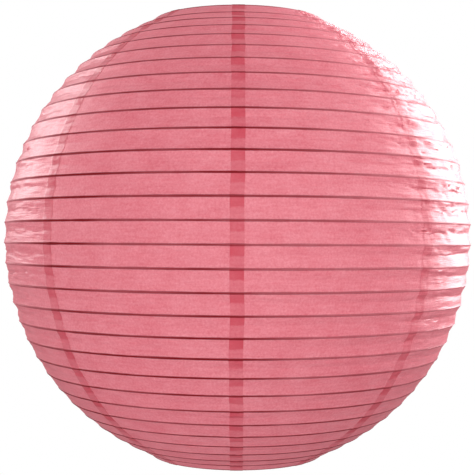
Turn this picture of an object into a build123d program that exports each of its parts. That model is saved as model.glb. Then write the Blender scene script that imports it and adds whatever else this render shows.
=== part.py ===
from build123d import *
import math
import os

# Round paper lantern, hung by the eye of its wire expander.
# Millimetres, +Z up, origin at the centre of the hanging eye.
# The shade's front seam faces -Y and the expander's flat frame lies in the XZ plane.

# Shade: a ball of paper gores on closed wire hoops
shade_radius = 175.0        # outside of the paper at the widest place
mouth_radius = 64.4         # centre line of each mouth ring
hoop_count = 29
hoops_above_middle = 14.7   # hoop spaces between the top ring and the widest place
end_tightening = 0.06       # how much closer the hoops sit towards the mouths

# Paper
gore_count = 8
paper_thickness = 0.3
lap_width = 8.5             # glued lap, the same width from mouth to mouth
lap_clearance = 0.05        # glue line under a lap
joggle_width = 1.0          # strip in which a gore steps up on to its neighbour
edge_clearance = 0.2        # between a gore's hidden edge and its neighbour's joggle
hem_length = 5.0            # paper turned back inside a mouth ring

# Wire
hoop_wire_radius = 0.35
ring_wire_radius = 1.1
paper_to_wire = 0.3         # between the paper and any wire that can move

# Expander
bar_wire_radius = 1.0
leg_wire_radius = 1.0
leg_inset = 14.0            # leg's centre line inside the mouth ring's
foot_clearance = 0.4        # between a foot and the paper round the mouth ring
foot_length = 4.6           # level run of a foot, which ends under the ring's centre line
foot_slope = 3.5            # sideways run from a foot up to the bar
bar_rise = 2.0              # bar's centre line beyond the mouth plane
bend_radius = 1.8           # bends beside a foot
eye_inner_radius = 4.0
eye_wire_radius = 1.0
eye_weld = 0.4              # how far the eye sinks into the bar

# Heights that follow
eye_radius = eye_inner_radius + eye_wire_radius
eye_rise = bar_rise + bar_wire_radius + eye_radius + eye_wire_radius - eye_weld
mouth_latitude = math.acos(mouth_radius / shade_radius)
mouth_height = shade_radius * math.sin(mouth_latitude)
top_plane = -eye_rise
shade_centre = top_plane - mouth_height
bottom_plane = shade_centre - mouth_height
gore_angle = 360.0 / gore_count
space_count = hoop_count + 1

os.makedirs("parts", exist_ok=True)


def save(piece, name):
    piece.label = name
    export_step(piece, f"parts/{name}.step")


# Latitude of a hoop, counted down from the top ring, with the spaces a little closer at the ends
def latitude(number):
    place = (hoops_above_middle - number) / (space_count / 2)
    return mouth_latitude * ((1 + end_tightening) * place - end_tightening * place**3)


# Point on the shade's meridian, depth under the outside of the paper
def meridian(number, depth):
    angle = latitude(number)
    reach = shade_radius - depth
    return (reach * math.cos(angle), shade_centre + reach * math.sin(angle))


# Unit vectors at a mouth: along the last strip of paper towards the axis, and out of it
def mouth_directions(side):
    number = 1 if side > 0 else hoop_count
    start = meridian(number, 0)
    rise = shade_centre + side * mouth_height - start[1]
    run = mouth_radius - start[0]
    length = math.hypot(run, rise)
    along = (run / length, rise / length)
    out = (side * along[1], -side * along[0])
    return along, out


# Point at a distance from a mouth ring's centre line
def by_ring(side, direction, distance, back=0.0, back_direction=(0, 0)):
    plane = shade_centre + side * mouth_height
    across = mouth_radius + direction[0] * distance - back_direction[0] * back
    height = plane + direction[1] * distance - back_direction[1] * back
    return (across, height)


# Section of one gore: straight from hoop to hoop, round each mouth ring and back inside
def draw_gore_section():
    near = ring_wire_radius + paper_to_wire
    far = near + paper_thickness
    numbers = list(range(1, hoop_count + 1))
    ends = {}
    for side in (1, -1):
        along, out = mouth_directions(side)
        inward = (-out[0], -out[1])
        for name, distance in (("near", near), ("far", far)):
            ends[side, name] = [
                by_ring(side, out, distance),
                by_ring(side, along, distance),
                by_ring(side, inward, distance),
                by_ring(side, inward, distance, hem_length, along),
            ]
    outer = [meridian(number, 0) for number in numbers]
    inner = [meridian(number, paper_thickness) for number in numbers]
    Polyline(ends[1, "far"][0], *outer, ends[-1, "far"][0])
    Polyline(ends[1, "near"][0], *inner, ends[-1, "near"][0])
    for side in (1, -1):
        for name in ("near", "far"):
            start, middle, end, tip = ends[side, name]
            ThreePointArc(start, middle, end)
            Line(end, tip)
        Line(ends[side, "near"][3], ends[side, "far"][3])


# Section of a band of the shade between two depths, from mouth to mouth, with no hems
def draw_band_section(outer_depth, inner_depth):
    numbers = range(1, hoop_count + 1)
    top_out = mouth_directions(1)[1]
    bottom_out = mouth_directions(-1)[1]
    far = ring_wire_radius + paper_to_wire + paper_thickness
    outer = [meridian(number, outer_depth) for number in numbers]
    inner = [meridian(number, inner_depth) for number in numbers]
    top = [by_ring(1, top_out, far - depth) for depth in (outer_depth, inner_depth)]
    bottom = [by_ring(-1, bottom_out, far - depth) for depth in (outer_depth, inner_depth)]
    Polyline(top[0], *outer, bottom[0], bottom[1], *reversed(inner), top[1], close=True)


# Plane that holds the axis at an angle, moved sideways, facing the way the angle grows
def seam_plane(angle, shift):
    turn = math.radians(angle)
    facing = (-math.sin(turn), math.cos(turn), 0)
    return Plane(origin=(facing[0] * shift, facing[1] * shift, 0), z_dir=facing)


# Each piece of a gore is turned further than it needs and trimmed parallel to its seams
spare_angle = 12.0
half_lap = lap_width / 2
first_seam = -90.0
last_seam = first_seam + gore_angle
section_plane = Plane.XZ.rotated((0, 0, first_seam - spare_angle))

with BuildPart() as gore_sheet:
    with BuildSketch(section_plane):
        with BuildLine():
            draw_gore_section()
        make_face()
    revolve(axis=Axis.Z, revolution_arc=gore_angle + 2 * spare_angle)
    split(bisect_by=seam_plane(first_seam, edge_clearance - half_lap), keep=Keep.TOP)
    split(bisect_by=seam_plane(last_seam, -half_lap), keep=Keep.BOTTOM)

with BuildPart() as gore_joggle:
    with BuildSketch(section_plane):
        with BuildLine():
            draw_band_section(-lap_clearance - paper_thickness, paper_thickness / 2)
        make_face()
    revolve(axis=Axis.Z, revolution_arc=gore_angle + 2 * spare_angle)
    split(bisect_by=seam_plane(last_seam, -half_lap - joggle_width), keep=Keep.TOP)
    split(bisect_by=seam_plane(last_seam, -half_lap), keep=Keep.BOTTOM)

with BuildPart() as gore_lap:
    with BuildSketch(section_plane):
        with BuildLine():
            draw_band_section(-lap_clearance - paper_thickness, -lap_clearance)
        make_face()
    revolve(axis=Axis.Z, revolution_arc=gore_angle + 2 * spare_angle)
    split(bisect_by=seam_plane(last_seam, -half_lap - joggle_width / 2), keep=Keep.TOP)
    split(bisect_by=seam_plane(last_seam, half_lap), keep=Keep.BOTTOM)

with BuildPart() as gore:
    add(gore_sheet.part)
    add(gore_joggle.part)
    add(gore_lap.part)

for index in range(gore_count):
    save(gore.part.rotate(Axis.Z, gore_angle * index), f"gore_{index + 1}")

# Closed wire hoops, glued inside the paper
hoop_depth = paper_thickness + paper_to_wire + hoop_wire_radius
for number in range(1, hoop_count + 1):
    with BuildPart() as hoop:
        with BuildSketch(Plane.XZ):
            with Locations(meridian(number, hoop_depth)):
                Circle(hoop_wire_radius)
        revolve(axis=Axis.Z)
    save(hoop.part, f"hoop_{number:02d}")

# Heavier rings inside the hems of the two mouths
for name, plane in (("top_ring", top_plane), ("bottom_ring", bottom_plane)):
    with BuildPart() as ring:
        with BuildSketch(Plane.XZ):
            with Locations((mouth_radius, plane)):
                Circle(ring_wire_radius)
        revolve(axis=Axis.Z)
    save(ring.part, name)


# Half of a bar's route, from its foot's end to the middle, side being 1 at the top mouth
def bar_points(side):
    plane = top_plane if side > 0 else bottom_plane
    wrapped_ring = ring_wire_radius + paper_to_wire + paper_thickness
    foot_level = plane - side * (wrapped_ring + foot_clearance + bar_wire_radius)
    bar_level = plane + side * bar_rise
    foot_start = mouth_radius - foot_length
    shoulder = foot_start - foot_slope
    return [(mouth_radius, foot_level), (foot_start, foot_level), (shoulder, bar_level)]


# Cross bars of the expander, whose feet hold the mouth rings apart
for name, side in (("top_bar", 1), ("bottom_bar", -1)):
    right = bar_points(side)
    left = [(-across, height) for across, height in reversed(right)]
    with BuildPart() as bar:
        with BuildLine(Plane.XZ):
            FilletPolyline(*right, *left, radius=bend_radius)
        with BuildSketch(Plane((right[0][0], 0, right[0][1]), z_dir=(-1, 0, 0))):
            Circle(bar_wire_radius)
        sweep()
    save(bar.part, name)

# Upright legs, welded to both bars
leg_length = 2 * (mouth_height + bar_rise)
for name, side in (("leg_left", -1), ("leg_right", 1)):
    with BuildPart() as leg:
        with BuildSketch(Plane.XY.offset(bottom_plane - bar_rise)):
            with Locations((side * (mouth_radius - leg_inset), 0)):
                Circle(leg_wire_radius)
        extrude(amount=leg_length)
    save(leg.part, name)

# Hanging eye, welded on the middle of the top bar
with BuildPart() as hanging_eye:
    with BuildSketch(Plane.YZ):
        with Locations((0, eye_radius)):
            Circle(eye_wire_radius)
    revolve(axis=Axis.Y)
save(hanging_eye.part, "hanging_eye")
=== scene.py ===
import math
import bpy
from mathutils import Matrix, Vector, noise


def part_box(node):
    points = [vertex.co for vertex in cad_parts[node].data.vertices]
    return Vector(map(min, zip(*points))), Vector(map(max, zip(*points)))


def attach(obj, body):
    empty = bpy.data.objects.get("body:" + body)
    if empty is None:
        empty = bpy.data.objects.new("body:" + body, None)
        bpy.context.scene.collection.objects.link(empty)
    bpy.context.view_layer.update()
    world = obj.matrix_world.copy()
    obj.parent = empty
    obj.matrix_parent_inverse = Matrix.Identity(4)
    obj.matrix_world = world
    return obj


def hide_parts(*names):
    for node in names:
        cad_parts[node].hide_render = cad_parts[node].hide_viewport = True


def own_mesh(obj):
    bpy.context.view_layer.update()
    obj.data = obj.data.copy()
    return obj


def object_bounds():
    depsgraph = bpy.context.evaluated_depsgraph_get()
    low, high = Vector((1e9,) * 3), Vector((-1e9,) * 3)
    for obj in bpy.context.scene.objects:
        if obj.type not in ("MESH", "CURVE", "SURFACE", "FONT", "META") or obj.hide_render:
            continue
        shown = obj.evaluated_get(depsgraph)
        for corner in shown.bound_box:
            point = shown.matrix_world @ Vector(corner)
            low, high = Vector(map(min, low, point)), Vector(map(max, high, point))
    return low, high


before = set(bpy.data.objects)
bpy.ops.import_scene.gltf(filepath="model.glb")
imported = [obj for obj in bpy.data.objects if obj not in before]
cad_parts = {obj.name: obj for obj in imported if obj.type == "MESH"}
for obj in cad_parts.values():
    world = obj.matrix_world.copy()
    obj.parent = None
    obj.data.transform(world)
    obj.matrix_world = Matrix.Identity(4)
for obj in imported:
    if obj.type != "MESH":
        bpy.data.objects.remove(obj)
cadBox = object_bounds()
print("frame loaded", len(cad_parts), "nodes")
bpy.context.scene.view_settings.view_transform = "Standard"


# general helpers

def deselectAll():
    if bpy.context.object and bpy.context.object.mode != "OBJECT":
        bpy.ops.object.mode_set(mode="OBJECT")
    bpy.ops.object.select_all(action="DESELECT")


def makeActive(piece):
    deselectAll()
    piece.select_set(True)
    bpy.context.view_layer.objects.active = piece


def applyModifiers(piece):
    makeActive(piece)
    for modifier in list(piece.modifiers):
        bpy.ops.object.modifier_apply(modifier=modifier.name)


def settle(piece):
    # the place goes into the mesh, so the object stands at the origin
    makeActive(piece)
    bpy.ops.object.transform_apply(location=True, rotation=True, scale=True)


def boxMiddle(node):
    low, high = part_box(node)
    return (low + high) / 2


def mix(a, b, share):
    return a + (b - a) * share


def smoothStep(low, high, value):
    share = min(1.0, max(0.0, (value - low) / (high - low)))
    return share * share * (3 - 2 * share)


# the shade's own measures, read off the wires that the paper is glued to

hoopNames = sorted(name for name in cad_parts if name.startswith("hoop_"))
goreNames = sorted(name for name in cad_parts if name.startswith("gore_"))
topPlane = boxMiddle("top_ring").z
bottomPlane = boxMiddle("bottom_ring").z
shadeMiddle = Vector((0, 0, (topPlane + bottomPlane) / 2))


def wireOf(node):
    # centre line radius, height and wire radius of a hoop or ring
    low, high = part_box(node)
    thick = (high.z - low.z) / 2
    return {"radius": max(high.x, high.y) - thick, "height": (low.z + high.z) / 2, "wire": thick}


hoops = [wireOf(name) for name in hoopNames]
topRing = wireOf("top_ring")
bottomRing = wireOf("bottom_ring")


# paper

paper = {
    "thickness": 0.00012,
    "overHoop": 0.00060,
    "overRing": 0.00035,
    "lapWidth": 0.0085,
    "lapLift": 0.00019,
    "joggle": 0.0010,
    "hem": 0.0050,
    "rowShares": (0.0, 0.04, 0.1, 0.19, 0.28, 0.37, 0.455, 0.5, 0.545, 0.63, 0.74, 0.86, 0.955),
    "rowsRound": 6,
    "rowsHem": 3,
    "hemShares": 3,
    "hemStep": 0.02,
    "columnsPlain": 96,
    "columnsJoggle": 2,
    "columnsLap": 8,
    "fold": 0.0016,
    "foldPlace": 0.46,
    "foldDrift": 0.07,
    "ridge": 0.00030,
    "crease": 0.00040,
    "crumple": 0.0017,
    "slack": 0.00022,
    "pucker": 0.00075,
    "puckerReach": 0.014,
    "knot": 0.0012,
    "knotReach": 0.010,
    "wander": 0.0011,
    "wanderReach": 0.25,
    "pleat": 0.00035,
    "hemWorn": 0.3,
    "tautFrom": 18,
    "tautTo": 23,
    "tautBelow": 0.75,
    "tautFoldTo": 24,
    "tautFold": 0.55,
    "firstSeam": -90.0,
    "sharpEdge": 60,
    "fadeIn": (-3, 2),
    "fadeOut": (-2, 4),
}
# where the shade was handled most: angle, reach, first and last hoop of the stretch, strength
handledPlaces = (
    (-36, 27, -2, 13, 1.0),
    (-42, 12, 6, 20, 0.7),
    (-150, 24, 7, 18, 0.7),
    (75, 40, 4, 14, 0.6),
)
# where the paper sags between the hoops instead of lying taut: angle, reach, strength
slackPlaces = ((-20, 52, 1.0), (-172, 26, 0.9), (80, 48, 0.7))
# how the wrinkles run: "round" is waves per shade radius along the hoops, "down" is waves per hoop space
wrinkles = {
    "foldRound": 2.3,
    "foldFineRound": 11.0,
    "foldFineShare": 0.4,
    "foldFineSeed": 1.7,
    "firmTaut": 0.22,
    "firmLoose": 0.72,
    "firmVary": 0.3,
    "firmRound": 3.1,
    "firmSeed": 0.6,
    "quarters": ((0.25, 11.0), (0.75, 23.0)),
    "quarterRound": 4.2,
    "quarterDrift": 0.06,
    "quarterDriftRound": 6.0,
    "quarterWidth": 0.12,
    "quarterTaut": 0.6,
    "quarterLoose": 1.6,
    "edgeRise": 2.6,
    "rippleRound": 5.5,
    "rippleDown": 4.3,
    "wornFrom": 0.12,
    "swirl": 0.7,
    "swirlRound": 7,
    "swirlDown": 1.1,
    "coarseRound": 3.4,
    "coarseDown": 3.4,
    "smallRound": 8.0,
    "smallDown": 6.6,
    "crumplePower": 1.6,
    "crumpleLevel": 0.45,
    "ridgeSharp": 2.6,
    "slantRound": 15,
    "slantLean": 1.6,
    "slantDown": 4.1,
    "puckerTaut": 0.3,
    "knotTall": 0.34,
    "knotRound": 46,
    "knotDown": 5.1,
    "knotTaut": 0.45,
    "knotEdge": 12,
    "wireWidth": 0.05,
    "pleatRound": 14,
    "pleatDown": 3,
    "pleatShare": 0.3,
    "patchRound": 1.7,
    "patchDown": 0.13,
    "patchEdge": (-0.1, 0.45),
    "patchShare": 0.22,
    "wornLeast": 0.08,
    "kinkSeam": 5.3,
    "kinkHoop": 0.83,
}
goreAngle = math.radians(360 / len(goreNames))


def outwards(radius, height):
    return Vector((radius, height - shadeMiddle.z)).normalized()


def meridianCorners():
    # outside of the paper over each wire, from the top ring down to the bottom one
    corners = []
    for wire in [topRing] + hoops + [bottomRing]:
        lift = paper["overHoop"] if wire not in (topRing, bottomRing) else paper["overRing"]
        out = outwards(wire["radius"], wire["height"])
        reach = wire["wire"] + lift
        corners.append(Vector((wire["radius"], wire["height"])) + out * reach)
    return corners


corners = meridianCorners()
spaceCount = len(corners) - 1


def hemRows(ring, corner, neighbour, side):
    # from the corner round the ring's wire and back inside, as rows that run away from the corner
    centre = Vector((ring["radius"], ring["height"]))
    along = (corner - neighbour).normalized()
    reach = (corner - centre).length
    start = math.atan2(corner.y - centre.y, corner.x - centre.x)
    rows = []
    for step in range(1, paper["rowsRound"] + 1):
        angle = start + side * math.pi * step / paper["rowsRound"]
        rows.append(centre + Vector((math.cos(angle), math.sin(angle))) * reach)
    last = rows[-1]
    for step in range(1, paper["rowsHem"] + 1):
        rows.append(last - along * paper["hem"] * step / paper["rowsHem"])
    return rows


def sheetRows():
    # every row of a gore from the inner edge of the top hem to that of the bottom hem
    rows = []
    top = hemRows(topRing, corners[0], corners[1], 1)
    for number, point in enumerate(reversed(top)):
        place = -paper["hemStep"] * (len(top) - number)
        rows.append({"point": point, "place": place, "ring": topRing})
    for space in range(spaceCount):
        for share in paper["rowShares"]:
            rows.append({"space": space, "share": share, "place": space + share})
    rows.append({"space": spaceCount - 1, "share": 1.0, "place": float(spaceCount)})
    bottom = hemRows(bottomRing, corners[-1], corners[-2], -1)
    for number, point in enumerate(bottom):
        place = spaceCount + paper["hemStep"] * (number + 1)
        rows.append({"point": point, "place": place, "ring": bottomRing})
    return rows


paperRows = sheetRows()
# a hem reaches a little past its ring, and keeps its shape there when the rest of the gore folds up
hemReach = paper["rowShares"][paper["hemShares"]]
topEnd = next(number for number, row in enumerate(paperRows) if row["place"] >= hemReach)
lastPlace = spaceCount - hemReach
bottomStart = next(number for number, row in enumerate(paperRows) if row["place"] >= lastPlace)
stretches = {
    "topHem": paperRows[:topEnd + 1],
    "sheet": paperRows[topEnd:bottomStart + 1],
    "bottomHem": paperRows[bottomStart:],
}


def handled(angle, place):
    # how crumpled the shade is at a place round it; each stretch fades in and out over a few hoops
    total = 0.0
    for middle, reach, first, last, share in handledPlaces:
        away = (math.degrees(angle) - middle + 180) % 360 - 180
        begins = smoothStep(*(first + step for step in paper["fadeIn"]), place)
        ends = smoothStep(*(last + step for step in paper["fadeOut"]), place)
        total += share * begins * (1 - ends) * math.exp(-(away / reach) ** 2)
    return min(1.0, total)


def slackness(angle, place):
    # 0 where the paper is drawn taut over the hoops, 1 where it is loose and folds in
    total = 0.0
    for middle, reach, strength in slackPlaces:
        away = (math.degrees(angle) - middle + 180) % 360 - 180
        total += strength * math.exp(-(away / reach) ** 2)
    taut = paper["tautBelow"] * smoothStep(paper["tautFrom"], paper["tautTo"], place)
    return min(1.0, total) * (1 - taut)


def ridged(point):
    return 1 - min(1.0, abs(noise.noise(point)) * wrinkles["ridgeSharp"])


def seedOf(space):
    # each space between two hoops has wrinkles of its own
    return Vector((space * 7.13, space * 3.71, space * 1.37))


def foldHeight(turn, space):
    # the main fold wanders above and below its usual place in the space
    seed = seedOf(space)
    slow = noise.noise(turn * wrinkles["foldRound"] + seed)
    fine = noise.noise(turn * wrinkles["foldFineRound"] + seed * wrinkles["foldFineSeed"])
    return paper["foldPlace"] + paper["foldDrift"] * (slow + wrinkles["foldFineShare"] * fine)


def roundAndDown(turn, place, roundScale, downScale, shift=0.0):
    # a place on the shade as noise sees it; the shift only keeps one pattern apart from the next
    return Vector((turn.x * roundScale, turn.y * roundScale, place * downScale + shift))


def foldDepth(turn, slack, space, share, place):
    # the main fold, halfway between two hoops
    seed = seedOf(space)
    wedge = 1 - abs(2 * share - 1)
    vary = noise.noise(turn * wrinkles["firmRound"] + seed * wrinkles["firmSeed"] + Vector((0, 0, 5)))
    firmness = wrinkles["firmTaut"] + wrinkles["firmLoose"] * slack + wrinkles["firmVary"] * vary
    tight = 1 - paper["tautFold"] * smoothStep(paper["tautFrom"], paper["tautFoldTo"], place)
    return paper["fold"] * firmness * wedge * tight


def quarterDepth(turn, worn, slack, space, share):
    # second creases beside the wires, that come and go
    seed = seedOf(space)
    growth = wrinkles["quarterTaut"] + wrinkles["quarterLoose"] * (slack + worn)
    depth = 0.0
    for quarter, phase in wrinkles["quarters"]:
        strength = noise.noise(turn * wrinkles["quarterRound"] + seed + Vector((phase, 0, 0)))
        drift = noise.noise(turn * wrinkles["quarterDriftRound"] + seed + Vector((0, phase, 0)))
        where = quarter + wrinkles["quarterDrift"] * drift
        bump = max(0.0, 1 - abs(share - where) / wrinkles["quarterWidth"])
        depth += paper["crease"] * growth * strength * bump
    return depth


def crumpleDepth(turn, worn, place):
    # crumples that mostly follow the hoops and cross each other at a slant
    if worn <= wrinkles["wornFrom"]:
        return 0.0
    swirl = noise.noise(roundAndDown(turn, place, wrinkles["swirlRound"], wrinkles["swirlDown"], 9))
    swirl *= wrinkles["swirl"]
    coarse = roundAndDown(turn, place, wrinkles["coarseRound"], wrinkles["coarseDown"], swirl)
    coarse += Vector((swirl, -swirl, 0))
    small = roundAndDown(turn, place, wrinkles["smallRound"], wrinkles["smallDown"], 40 + swirl)
    small.x -= swirl
    rough = paper["crumple"] * worn ** wrinkles["crumplePower"]
    return rough * ((ridged(coarse) + ridged(small)) / 2 - wrinkles["crumpleLevel"])


def seamDepth(turn, worn, share, place, fromSeam, free):
    # puckers along a lap, and tight ones where it crosses a hoop
    nearSeam = max(0.0, 1 - fromSeam / paper["puckerReach"])
    if nearSeam == 0:
        return 0.0
    lean = place * wrinkles["slantLean"]
    slanted = roundAndDown(turn, place, wrinkles["slantRound"], wrinkles["slantDown"], 70)
    slant = noise.noise(slanted + Vector((lean, -lean, 0)))
    depth = paper["pucker"] * nearSeam * mix(wrinkles["puckerTaut"], 1, worn) * slant * free
    fromWire = min(share, 1 - share)
    nearKnot = max(0.0, 1 - fromSeam / paper["knotReach"]) * max(0.0, 1 - fromWire / wrinkles["knotTall"])
    star = noise.noise(roundAndDown(turn, place, wrinkles["knotRound"], wrinkles["knotDown"], 31))
    tied = min(1.0, fromWire * wrinkles["knotEdge"])
    return depth + paper["knot"] * nearKnot * mix(wrinkles["knotTaut"], 1, worn) * star * tied


def paperDepth(turn, worn, slack, space, share, place, fromSeam):
    # how far the paper lies under the straight line from hoop to hoop; share 0.5 is the main fold
    wedge = 1 - abs(2 * share - 1)
    free = min(1.0, wedge * wrinkles["edgeRise"])
    depth = foldDepth(turn, slack, space, share, place)
    depth += quarterDepth(turn, worn, slack, space, share)
    ripple = noise.noise(roundAndDown(turn, place, wrinkles["rippleRound"], wrinkles["rippleDown"]))
    depth += paper["slack"] * ripple * free
    depth += crumpleDepth(turn, worn, place) * free
    depth += seamDepth(turn, worn, share, place, fromSeam, free)
    # the wire shows as a small ridge
    return depth - paper["ridge"] * max(0.0, 1 - min(share, 1 - share) / wrinkles["wireWidth"])


def kinkAt(seamNumber, hoop):
    return noise.noise(Vector((seamNumber * wrinkles["kinkSeam"] + 2, hoop * wrinkles["kinkHoop"], 4.4)))


def seamWander(angle, seams, place):
    # a glued lap is never quite straight: it kinks at the hoops
    shift = 0.0
    for seam in seams:
        number = round(math.degrees(seam) / math.degrees(goreAngle)) % len(goreNames)
        weight = max(0.0, 1 - abs(angle - seam) / (goreAngle * paper["wanderReach"]))
        hoopAbove = math.floor(place)
        above, below = (kinkAt(number, hoop) for hoop in (hoopAbove, hoopAbove + 1))
        shift += weight * mix(above, below, place - hoopAbove)
    return paper["wander"] * shift


def goreColumns(seamStart, seamEnd, radius):
    # angle and lift of each column: under the neighbour's lap, plain, up the joggle, on the next gore
    turnHalf = math.asin(paper["lapWidth"] / 2 / radius)
    turnJoggle = paper["joggle"] / radius
    turned = seamEnd - turnHalf
    bands = (
        (seamStart - turnHalf, seamStart + turnHalf, paper["columnsLap"], 0.0, 0.0),
        (seamStart + turnHalf, turned - turnJoggle, paper["columnsPlain"], 0.0, 0.0),
        (turned - turnJoggle, turned, paper["columnsJoggle"], 0.0, 1.0),
        (turned, seamEnd + turnHalf, paper["columnsLap"], 1.0, 1.0),
    )
    columns = [(seamStart - turnHalf, 0.0)]
    for start, end, count, liftStart, liftEnd in bands:
        for step in range(1, count + 1):
            lift = paper["lapLift"] * mix(liftStart, liftEnd, step / count)
            columns.append((mix(start, end, step / count), lift))
    return columns, turned


def hemPoint(row, base, turn, shown, lift):
    # the paper is gathered a little where it turns round a ring
    centre = Vector((row["ring"]["radius"], row["ring"]["height"]))
    wave = noise.noise(roundAndDown(turn, row["place"], wrinkles["pleatRound"], wrinkles["pleatDown"]))
    reach = paper["pleat"] * wrinkles["pleatShare"] * (1 + wave) + lift
    point = base + (base - centre).normalized() * reach
    return point, slackness(shown, row["place"]), paper["hemWorn"]


def sheetPoint(row, base, turn, shown, lift, fromSeam):
    space, share, place = row["space"], row["share"], row["place"]
    fold = foldHeight(turn, space)
    along = 2 * share * fold if share < 0.5 else 1 - 2 * (1 - share) * (1 - fold)
    down = Vector((3.1, 8.2, place * wrinkles["patchDown"]))
    patch = smoothStep(*wrinkles["patchEdge"], noise.noise(turn * wrinkles["patchRound"] + down))
    worn = min(1.0, mix(wrinkles["wornLeast"], 1, handled(shown, place)) + wrinkles["patchShare"] * patch)
    slack = slackness(shown, place)
    depth = paperDepth(turn, worn, slack, space, share, place, fromSeam)
    point = corners[space].lerp(corners[space + 1], along) + outwards(base.x, base.y) * (lift - depth)
    return point, slack, worn


def buildPaper(index, name, rows):
    # one stretch of a gore, from its first row down to its last
    seamStart = math.radians(paper["firstSeam"]) + goreAngle * index
    seamEnd = seamStart + goreAngle
    deselectAll()
    columnCount = paper["columnsPlain"] + paper["columnsJoggle"] + 2 * paper["columnsLap"]
    bpy.ops.mesh.primitive_grid_add(x_subdivisions=columnCount, y_subdivisions=len(rows) - 1, size=1)
    gore = bpy.context.object
    gore.name = name
    mesh = gore.data
    mesh.name = gore.name
    places, loose, creased = [], [], []
    for row in rows:
        place = row["place"]
        if "ring" in row:
            base = row["point"]
        else:
            base = corners[row["space"]].lerp(corners[row["space"] + 1], row["share"])
        columns, turned = goreColumns(seamStart, seamEnd, base.x)
        for angle, lift in columns:
            fromSeam = min(abs(angle - seamStart), abs(angle - seamEnd)) * base.x
            shown = angle + seamWander(angle, (seamStart, seamEnd), place) / base.x
            turn = Vector((math.cos(shown), math.sin(shown), 0.0))
            if "ring" in row:
                point, slack, worn = hemPoint(row, base, turn, shown, lift)
            else:
                point, slack, worn = sheetPoint(row, base, turn, shown, lift, fromSeam)
            vertex = mesh.vertices[len(places)]
            vertex.co = (point.x * turn.x, point.x * turn.y, point.y)
            places.append(((angle - turned) * base.x, place))
            loose.append(slack)
            creased.append(worn)
    layer = mesh.uv_layers[0]
    layer.name = "paper"
    for loop in mesh.loops:
        layer.data[loop.index].uv = places[loop.vertex_index]
    for label, values in (("loose", loose), ("creased", creased)):
        attribute = mesh.attributes.new(label, "FLOAT", "POINT")
        attribute.data.foreach_set("value", values)
    makeActive(gore)
    bpy.ops.object.mode_set(mode="EDIT")
    bpy.ops.mesh.select_all(action="SELECT")
    bpy.ops.mesh.flip_normals()
    bpy.ops.object.mode_set(mode="OBJECT")
    solid = gore.modifiers.new("paper", "SOLIDIFY")
    solid.thickness = paper["thickness"]
    solid.offset = -1
    applyModifiers(gore)
    bpy.ops.object.shade_smooth_by_angle(angle=math.radians(paper["sharpEdge"]))
    return gore


# materials

def newMaterial(name):
    material = bpy.data.materials.new(name)
    material.use_nodes = True
    material.node_tree.nodes.clear()
    return material


def addNode(material, kind, place, **settings):
    node = material.node_tree.nodes.new(kind)
    node.location = place
    for name, value in settings.items():
        setattr(node, name, value)
    return node


def link(material, source, target):
    material.node_tree.links.new(source, target)


def mathNode(material, operation, place, first, second=None, third=None):
    node = addNode(material, "ShaderNodeMath", place, operation=operation)
    for socket, value in zip(node.inputs, (first, second, third)):
        if value is None:
            continue
        if isinstance(value, (int, float)):
            socket.default_value = value
        else:
            link(material, value, socket)
    return node.outputs[0]


def mixColour(material, place, share, first, second):
    node = addNode(material, "ShaderNodeMix", place, data_type="RGBA")
    for socket, value in ((node.inputs[0], share), (node.inputs[6], first), (node.inputs[7], second)):
        if isinstance(value, (int, float, tuple)):
            socket.default_value = value
        else:
            link(material, value, socket)
    return node.outputs[2]


def rangeNode(material, place, value, fromLow, fromHigh, toLow, toHigh, smooth=False):
    node = addNode(material, "ShaderNodeMapRange", place)
    if smooth:
        node.interpolation_type = "SMOOTHSTEP"
    link(material, value, node.inputs[0])
    for socket, number in zip(list(node.inputs)[1:5], (fromLow, fromHigh, toLow, toHigh)):
        socket.default_value = number
    return node.outputs[0]


def noiseNode(material, place, vector, scale, detail, roughness=0.55):
    node = addNode(material, "ShaderNodeTexNoise", place)
    link(material, vector, node.inputs["Vector"])
    node.inputs["Scale"].default_value = scale
    node.inputs["Detail"].default_value = detail
    node.inputs["Roughness"].default_value = roughness
    return node.outputs[0]


def stretched(material, place, vector, scale):
    node = addNode(material, "ShaderNodeMapping", place)
    link(material, vector, node.inputs[0])
    node.inputs["Scale"].default_value = scale
    return node.outputs[0]


def srgb(red, green, blue):
    def linear(value):
        value = value / 255
        return value / 12.92 if value <= 0.04045 else ((value + 0.055) / 1.055) ** 2.4
    return (linear(red), linear(green), linear(blue), 1.0)


paperLook = {
    "light": srgb(236, 149, 161),
    "deep": srgb(224, 107, 124),
    "glow": srgb(243, 100, 116),
    "glowDeep": srgb(220, 64, 86),
    # dark line over each hoop: glue-soaked paper, partly painted shade of the wire and its ridge
    "wireGlueAndShadeColour": srgb(132, 0, 16),
    "wireHalf": 0.062,
    "wireCore": 0.45,
    "wireFade": 1.2,
    "wireSwelling": 0.05,
    "wireStrength": (0.78, 1.15),
    "wireLoose": 0.88,
    "wireDull": 0.6,
    "seam": srgb(207, 44, 70),
    "seamEdge": -0.0003,
    "seamPatches": (0.7, 1.1),
    "seamShare": 0.86,
    # share of the lap colour left below each main fold; above it the lap carries painted shade
    "seamShareBelowFold": 0.5,
    "seamPale": 0.55,
    "foldWander": 0.34,
    "foldPlace": (0.62, 0.72),
    "cloudScale": 60,
    "cloudShare": 0.4,
    "grainScale": 700,
    "grainShare": 0.8,
    "fibreScale": (90, 90, 620),
    "fibreShare": 0.45,
    "mottle": (0.35, 0.85),
    "creaseScale": (45, 45, 520),
    "creaseDepth": (0.7, 3.6),
    "grainRelief": 0.35,
    "fibreRelief": 0.5,
    "bump": 0.5,
    "bumpDepth": 0.0004,
    "roughness": 0.47,
    "glazed": 0.37,
    "roughVary": (-0.07, 0.09),
    "specular": 0.5,
    "through": 0.34,
}


def paperPulp(material, onPaper):
    # grain, and long fibres lying along the hoops
    grain = noiseNode(material, (-1400, 300), onPaper, paperLook["grainScale"], 3, 0.7)
    along = stretched(material, (-1600, 100), onPaper, paperLook["fibreScale"])
    fibre = noiseNode(material, (-1400, 100), along, 1.0, 4, 0.65)
    return grain, fibre


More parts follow.
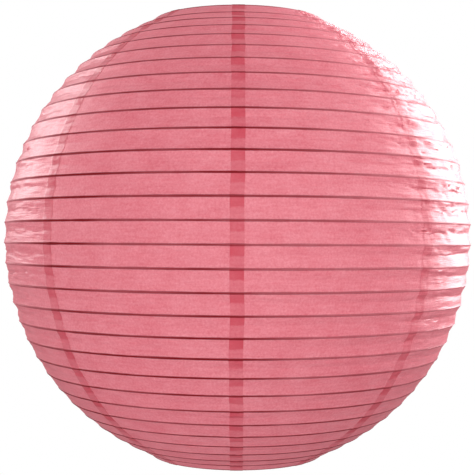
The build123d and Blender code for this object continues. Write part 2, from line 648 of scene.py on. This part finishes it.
def paperMottle(material, onPaper, grain, fibre):
    # cloudy patches under the grain and the fibres, 0 deep and 1 light
    cloud = noiseNode(material, (-1400, 500), onPaper, paperLook["cloudScale"], 3)
    share = paperLook["cloudShare"]
    tone = mathNode(material, "MULTIPLY_ADD", (-1200, 400), cloud, share, -share / 2)
    tone = mathNode(material, "MULTIPLY_ADD", (-1000, 400), grain, paperLook["grainShare"], tone)
    tone = mathNode(material, "MULTIPLY_ADD", (-800, 400), fibre, paperLook["fibreShare"], tone)
    return rangeNode(material, (-600, 400), tone, *paperLook["mottle"], 0.0, 1.0)


def wireGlueAndShade(material, onPaper, place):
    # glue-soaked paper over the wire, darkened with painted shade of the wire and its ridge, one line at
    # each whole hoop number, stronger and weaker by stretches
    fromWire = mathNode(material, "PINGPONG", (-1400, -400), place, 0.5)
    swelling = noiseNode(material, (-1600, -500), onPaper, 55, 2)
    swell = paperLook["wireSwelling"]
    fromWire = mathNode(material, "MULTIPLY_ADD", (-1300, -500), swelling, swell, fromWire)
    core = swell / 2 + paperLook["wireHalf"] * paperLook["wireCore"]
    fade = swell / 2 + paperLook["wireHalf"] * paperLook["wireFade"]
    line = rangeNode(material, (-1200, -400), fromWire, core, fade, 1.0, 0.0, True)
    strength = noiseNode(material, (-1200, -600), onPaper, 14, 2)
    strength = rangeNode(material, (-1000, -600), strength, 0.35, 0.65, *paperLook["wireStrength"])
    line = mathNode(material, "MULTIPLY", (-800, -400), line, strength)
    # loose paper stands off its wires, so the glue line and its painted shade show less there
    loose = addNode(material, "ShaderNodeAttribute", (-1200, -750), attribute_name="loose")
    less = -paperLook["wireLoose"]
    off = mathNode(material, "MULTIPLY_ADD", (-1000, -750), loose.outputs["Fac"], less, 1.0)
    line = mathNode(material, "MULTIPLY", (-600, -400), line, off)
    return mathNode(material, "MINIMUM", (-450, -400), line, 1.0)


def lapToneAndFoldShade(material, onPaper, across, place, worn):
    # doubled paper under and over a glued lap, drawn darker with painted shade above each main fold
    lap = mathNode(material, "GREATER_THAN", (-1400, -800), across, paperLook["seamEdge"])
    patch = noiseNode(material, (-1200, -900), onPaper, 45, 2)
    patch = rangeNode(material, (-1000, -900), patch, 0.3, 0.7, *paperLook["seamPatches"])
    lap = mathNode(material, "MULTIPLY", (-800, -800), lap, patch)
    # painted shade: the lap colour is at full strength above the main fold of each space, where the paper
    # faces down, and weaker below the fold
    inSpace = mathNode(material, "FRACT", (-1400, -1000), place)
    wander = noiseNode(material, (-1400, -1200), onPaper, 90, 3)
    share = paperLook["foldWander"]
    inSpace = mathNode(material, "MULTIPLY_ADD", (-1200, -1000), wander, share, inSpace)
    lapShareBelowFold = paperLook["seamShareBelowFold"]
    foldShade = rangeNode(material, (-1000, -1000), inSpace, *paperLook["foldPlace"], 1.0, lapShareBelowFold)
    lap = mathNode(material, "MULTIPLY", (-700, -900), lap, foldShade)
    lap = mathNode(material, "MULTIPLY", (-600, -800), lap, paperLook["seamShare"])
    # crumpled glue turns pale
    less = -paperLook["seamPale"]
    pale = mathNode(material, "MULTIPLY_ADD", (-1200, -1400), worn, less, 1.0)
    return mathNode(material, "MULTIPLY", (-500, -900), lap, pale)


def paperRelief(material, onPaper, grain, fibre, worn):
    # grain, fibres and fine creases, which are deeper where the shade was handled
    along = stretched(material, (-1600, -1300), onPaper, paperLook["creaseScale"])
    crease = noiseNode(material, (-1400, -1300), along, 1.0, 3, 0.6)
    depth = rangeNode(material, (-1200, -1500), worn, 0.0, 1.0, *paperLook["creaseDepth"])
    crease = mathNode(material, "MULTIPLY", (-1100, -1300), crease, depth)
    relief = mathNode(material, "MULTIPLY_ADD", (-1000, -1300), grain, paperLook["grainRelief"], crease)
    relief = mathNode(material, "MULTIPLY_ADD", (-800, -1300), fibre, paperLook["fibreRelief"], relief)
    bump = addNode(material, "ShaderNodeBump", (-400, -200))
    bump.inputs["Strength"].default_value = paperLook["bump"]
    bump.inputs["Distance"].default_value = paperLook["bumpDepth"]
    link(material, relief, bump.inputs["Height"])
    return bump.outputs[0]


def makePaper(name, roughness):
    # pulp-dyed tissue that lets some light through
    material = newMaterial(name)
    onPaper = addNode(material, "ShaderNodeTexCoord", (-1800, 0)).outputs["Object"]
    uv = addNode(material, "ShaderNodeUVMap", (-1800, -400), uv_map="paper")
    split = addNode(material, "ShaderNodeSeparateXYZ", (-1600, -400))
    link(material, uv.outputs[0], split.inputs[0])
    across, place = split.outputs[0], split.outputs[1]
    creased = addNode(material, "ShaderNodeAttribute", (-1400, -1500), attribute_name="creased")
    worn = creased.outputs["Fac"]
    grain, fibre = paperPulp(material, onPaper)
    mottle = paperMottle(material, onPaper, grain, fibre)
    wire = wireGlueAndShade(material, onPaper, place)
    lap = lapToneAndFoldShade(material, onPaper, across, place, worn)
    normal = paperRelief(material, onPaper, grain, fibre, worn)
    face = mixColour(material, (-400, 400), mottle, paperLook["deep"], paperLook["light"])
    # the lap's own deeper colour, with painted shade above each main fold
    face = mixColour(material, (-200, 400), lap, face, paperLook["seam"])
    # painted shade: the dark line over each hoop is partly the wire's shadow
    face = mixColour(material, (0, 400), wire, face, paperLook["wireGlueAndShadeColour"])
    glow = mixColour(material, (-400, 200), mottle, paperLook["glowDeep"], paperLook["glow"])
    # the same lap colour and painted fold shade in the light through the paper
    glow = mixColour(material, (-200, 200), lap, glow, paperLook["seam"])
    # painted shadow of the wire in the light through the paper
    glow = mixColour(material, (0, 200), wire, glow, paperLook["wireGlueAndShadeColour"])
    # the glue over a wire is dull
    least, most = (roughness + vary for vary in paperLook["roughVary"])
    rough = rangeNode(material, (-200, 0), grain, 0.3, 0.7, least, most)
    rough = mathNode(material, "MULTIPLY_ADD", (0, 0), wire, paperLook["wireDull"], rough)
    shader = addNode(material, "ShaderNodeBsdfPrincipled", (200, 400))
    shader.inputs["Specular IOR Level"].default_value = paperLook["specular"]
    link(material, face, shader.inputs["Base Color"])
    link(material, rough, shader.inputs["Roughness"])
    link(material, normal, shader.inputs["Normal"])
    through = addNode(material, "ShaderNodeBsdfTranslucent", (200, 100))
    link(material, glow, through.inputs[0])
    link(material, normal, through.inputs["Normal"])
    both = addNode(material, "ShaderNodeMixShader", (450, 300))
    both.inputs[0].default_value = paperLook["through"]
    link(material, shader.outputs[0], both.inputs[1])
    link(material, through.outputs[0], both.inputs[2])
    output = addNode(material, "ShaderNodeOutputMaterial", (650, 300))
    link(material, both.outputs[0], output.inputs[0])
    return material


wireLook = {
    "spotScale": 220,
    "scratchScale": 1500,
    "spots": (0.45, 0.7),
    "roughVary": (-0.08, 0.15),
    "bump": 0.25,
    "bumpDepth": 0.00008,
}


def makeWire(name, colour, roughness, dull):
    # drawn steel: fine scratches, and duller spots of oxide
    material = newMaterial(name)
    onWire = addNode(material, "ShaderNodeTexCoord", (-900, 0)).outputs["Object"]
    spots = noiseNode(material, (-700, 100), onWire, wireLook["spotScale"], 4)
    scratches = noiseNode(material, (-700, -100), onWire, wireLook["scratchScale"], 2)
    worn = rangeNode(material, (-500, 100), spots, *wireLook["spots"], 0.0, 1.0)
    tint = mixColour(material, (-300, 100), worn, colour, dull)
    least, most = (roughness + vary for vary in wireLook["roughVary"])
    rough = rangeNode(material, (-300, -100), spots, 0.3, 0.7, least, most)
    bump = addNode(material, "ShaderNodeBump", (-300, -300))
    bump.inputs["Strength"].default_value = wireLook["bump"]
    bump.inputs["Distance"].default_value = wireLook["bumpDepth"]
    link(material, scratches, bump.inputs["Height"])
    shader = addNode(material, "ShaderNodeBsdfPrincipled", (0, 100))
    shader.inputs["Metallic"].default_value = 1.0
    link(material, tint, shader.inputs["Base Color"])
    link(material, rough, shader.inputs["Roughness"])
    link(material, bump.outputs[0], shader.inputs["Normal"])
    output = addNode(material, "ShaderNodeOutputMaterial", (300, 100))
    link(material, shader.outputs[0], output.inputs[0])
    return material


def setMaterial(piece, material):
    piece.data.materials.clear()
    piece.data.materials.append(material)


tissuePaper = makePaper("tissuePaper", paperLook["roughness"])
glazedPaper = makePaper("glazedPaper", paperLook["glazed"])
hoopSteel = makeWire("hoopSteel", srgb(132, 104, 104), 0.46, srgb(96, 56, 58))
ringSteel = makeWire("ringSteel", srgb(172, 170, 170), 0.38, srgb(120, 112, 108))
zincWire = makeWire("zincWire", srgb(200, 202, 206), 0.3, srgb(150, 150, 152))
print("materials made")

goreCut = {"width": 0.146, "length": 0.440, "area": 0.0493, "glazed": ("gore_2", "gore_7")}

for index, name in enumerate(goreNames):
    finish = glazedPaper if name in goreCut["glazed"] else tissuePaper
    gore = buildPaper(index, f"paper_{name}", stretches["sheet"])
    topHem = buildPaper(index, f"top_hem_{index + 1}", stretches["topHem"])
    bottomHem = buildPaper(index, f"bottom_hem_{index + 1}", stretches["bottomHem"])
    for piece, body in ((gore, "frame"), (topHem, "frame"), (bottomHem, "bottom_ring")):
        setMaterial(piece, finish)
        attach(piece, body)
        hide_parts(name)
    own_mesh(gore)
print("paper gores made")


# hoops

hoopForm = {
    "aroundCount": 180,
    "wireCount": 10,
    "weldLength": 5.0,
    "weldSwell": 0.22,
    "weldBearing": 200,
    "weldScatter": 13,
    "weldStep": 2.4,
}


def buildHoop(number, name, wire):
    deselectAll()
    bpy.ops.mesh.primitive_torus_add(
        major_segments=hoopForm["aroundCount"], minor_segments=hoopForm["wireCount"],
        major_radius=wire["radius"], minor_radius=wire["wire"], location=(0, 0, wire["height"]))
    hoop = bpy.context.object
    hoop.name = f"wire_{name}"
    settle(hoop)
    # the butt weld that closes the hoop, a few degrees from its neighbours'
    scatter = hoopForm["weldScatter"] * math.sin(number * hoopForm["weldStep"])
    weldAngle = math.radians(hoopForm["weldBearing"] + scatter)
    for vertex in hoop.data.vertices:
        angle = math.atan2(vertex.co.y, vertex.co.x) % (2 * math.pi)
        near = max(0.0, 1 - abs(math.degrees(angle - weldAngle)) / hoopForm["weldLength"])
        line = Vector((math.cos(angle), math.sin(angle), 0)) * wire["radius"]
        line.z = wire["height"]
        vertex.co = line + (vertex.co - line) * (1 + hoopForm["weldSwell"] * near)
    makeActive(hoop)
    bpy.ops.object.shade_smooth()
    return hoop


for number, name in enumerate(hoopNames):
    hoop = buildHoop(number, name, hoops[number])
    setMaterial(hoop, hoopSteel)
    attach(hoop, name)
    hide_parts(name)
print("hoops made")

for name in ("top_ring", "bottom_ring"):
    setMaterial(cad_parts[name], ringSteel)
for name in ("top_bar", "bottom_bar", "leg_left", "leg_right", "hanging_eye"):
    setMaterial(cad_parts[name], zincWire)


# studio

studio = {
    "floorDrop": 2.3,
    "floorSize": 9.0,
    "wallHeight": 6.0,
    "farEdge": 0.49,
    "floorColour": srgb(200, 200, 200),
    "floorRoughness": 0.9,
    "worldStrength": 0.56,
    "cameraDistance": 0.7875,
    "lens": 77.6,
    "roll": 0.3,
}


def buildStage():
    deselectAll()
    low = cadBox[0].z - studio["floorDrop"]
    bpy.ops.mesh.primitive_plane_add(size=studio["floorSize"], location=(0, 0, low))
    floor = bpy.context.object
    floor.name = "floor"
    bpy.ops.object.mode_set(mode="EDIT")
    bpy.ops.mesh.select_all(action="DESELECT")
    bpy.ops.object.mode_set(mode="OBJECT")
    # the far edge is drawn up into a wall
    for edge in floor.data.edges:
        middle = (floor.data.vertices[edge.vertices[0]].co + floor.data.vertices[edge.vertices[1]].co) / 2
        edge.select = middle.y > studio["floorSize"] * studio["farEdge"]
    bpy.ops.object.mode_set(mode="EDIT")
    bpy.ops.mesh.extrude_region_move(TRANSFORM_OT_translate={"value": (0, 0, studio["wallHeight"])})
    bpy.ops.mesh.select_all(action="SELECT")
    bpy.ops.object.mode_set(mode="OBJECT")
    settle(floor)
    material = newMaterial("paleFloor")
    shader = addNode(material, "ShaderNodeBsdfPrincipled", (0, 0))
    shader.inputs["Base Color"].default_value = studio["floorColour"]
    shader.inputs["Roughness"].default_value = studio["floorRoughness"]
    lit = addNode(material, "ShaderNodeEmission", (0, -200))
    lit.inputs["Strength"].default_value = 1.0
    lightPath = addNode(material, "ShaderNodeLightPath", (0, 300))
    both = addNode(material, "ShaderNodeMixShader", (200, 0))
    link(material, lightPath.outputs["Is Camera Ray"], both.inputs[0])
    link(material, shader.outputs[0], both.inputs[1])
    link(material, lit.outputs[0], both.inputs[2])
    output = addNode(material, "ShaderNodeOutputMaterial", (400, 0))
    link(material, both.outputs[0], output.inputs[0])
    setMaterial(floor, material)


def addLight(name, place, size, power):
    deselectAll()
    bpy.ops.object.light_add(type="AREA", location=place)
    light = bpy.context.object
    light.name = name
    light.data.shape = "RECTANGLE"
    light.data.size, light.data.size_y = size
    light.data.energy = power
    aim = shadeMiddle - Vector(place)
    light.rotation_euler = aim.to_track_quat("-Z", "Y").to_euler()


buildStage()
world = bpy.data.worlds.new("studio")
bpy.context.scene.world = world
world.use_nodes = True
background = world.node_tree.nodes["Background"]
background.inputs[0].default_value = (1, 1, 1, 1)
background.inputs[1].default_value = studio["worldStrength"]
# the backdrop beyond the floor is as white as the floor
backdrop = addNode(world, "ShaderNodeBackground", (0, -200))
backdrop.inputs[0].default_value = (1, 1, 1, 1)
seen = addNode(world, "ShaderNodeLightPath", (0, 300))
worldMix = addNode(world, "ShaderNodeMixShader", (250, 0))
link(world, seen.outputs["Is Camera Ray"], worldMix.inputs[0])
link(world, background.outputs[0], worldMix.inputs[1])
link(world, backdrop.outputs[0], worldMix.inputs[2])
link(world, worldMix.outputs[0], world.node_tree.nodes["World Output"].inputs[0])

middle = shadeMiddle.z
# name: bearing from straight ahead, elevation, distance, size, power
lights = {
    "frontSoft": (0, 4, 1.6, (2.4, 1.8), 20),
    "rightGloss": (122, 20, 1.3, (0.8, 1.15), 32),
    "leftGloss": (-120, 24, 1.3, (0.6, 0.85), 11.5),
    "rightSoft": (60, 32, 1.4, (1.3, 0.5), 6),
    "leftFill": (-75, -12, 1.6, (1.0, 1.0), 4.5),
    "lowFill": (-5, -48, 1.6, (1.4, 1.0), 6),
}
for name, (bearing, lift, distance, size, power) in lights.items():
    turn, rise = math.radians(bearing), math.radians(lift)
    place = Vector((math.sin(turn) * math.cos(rise), -math.cos(turn) * math.cos(rise), math.sin(rise)))
    place = place * distance + shadeMiddle
    addLight(name, place, size, power)

deselectAll()
bpy.ops.object.camera_add(location=(0, -studio["cameraDistance"], middle))
camera = bpy.context.object
camera.data.lens = studio["lens"]
aim = shadeMiddle - camera.location
turn = aim.to_track_quat("-Z", "Y").to_matrix().to_4x4()
roll = Matrix.Rotation(math.radians(studio["roll"]), 4, "Z")
camera.rotation_euler = (turn @ roll).to_euler()
bpy.context.scene.camera = camera
print("studio ready")
